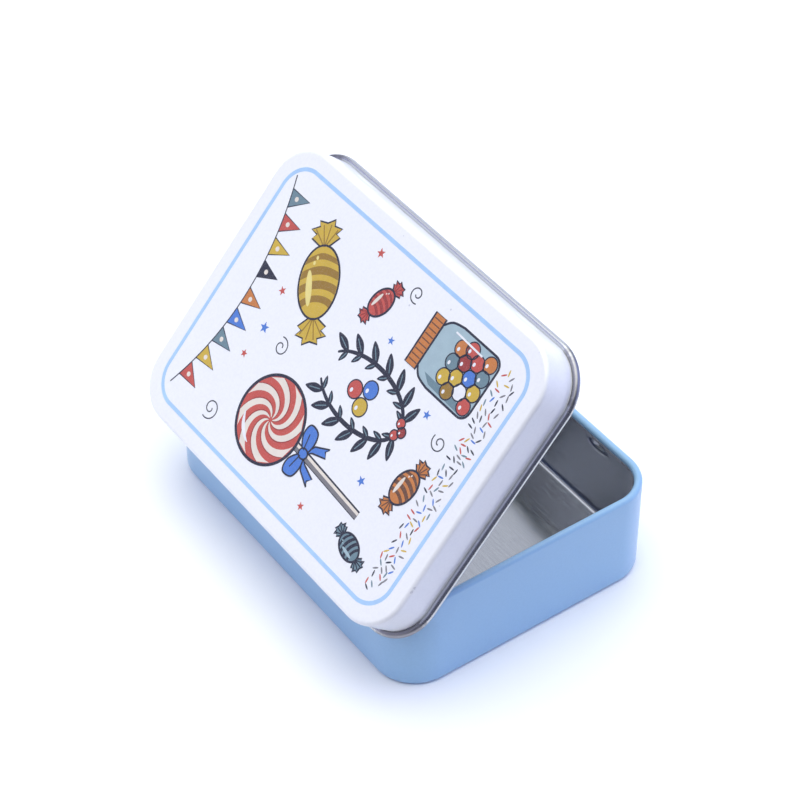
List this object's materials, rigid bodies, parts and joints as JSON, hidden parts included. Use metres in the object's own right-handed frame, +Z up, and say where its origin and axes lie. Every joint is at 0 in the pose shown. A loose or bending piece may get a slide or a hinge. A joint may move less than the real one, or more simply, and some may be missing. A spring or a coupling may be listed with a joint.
{
  "type": "hinged candy tin",
  "caption": "Small rectangular hinged tin: a tray with rounded corners and an inward-rolled rim, and a shallow lid with an outward-rolled bead.",
  "frame": {"origin": "centre of the base's flat underside", "axes": "+Z up; +Y along the hinge, the tin's long way; +X from the hinge's wall to the wall with the catches"},
  "size_m": [0.0818, 0.1046, 0.0805],
  "materials": {
    "blue_painted_tinplate": "satin sky-blue lacquer outside, bare tinplate inside",
    "white_printed_tinplate": "satin white lacquer outside, bare tinplate inside and on the bead",
    "bare_tinplate": "bright rolled tinplate with a fine grain",
    "printed_ink": "satin printing ink under clear varnish"
  },
  "bodies": {
    "base": {"base": "blue_painted_tinplate"},
    "lid": {"lid": "white_printed_tinplate"}
  },
  "joints": [
    {"name": "lid_hinge", "type": "hinge", "parent": "base", "child": "lid", "pos_m": [-0.0382, 0, 0.01735], "axis": [0, -1, 0], "range_deg": [-48.3, 61.7]}
  ]
}
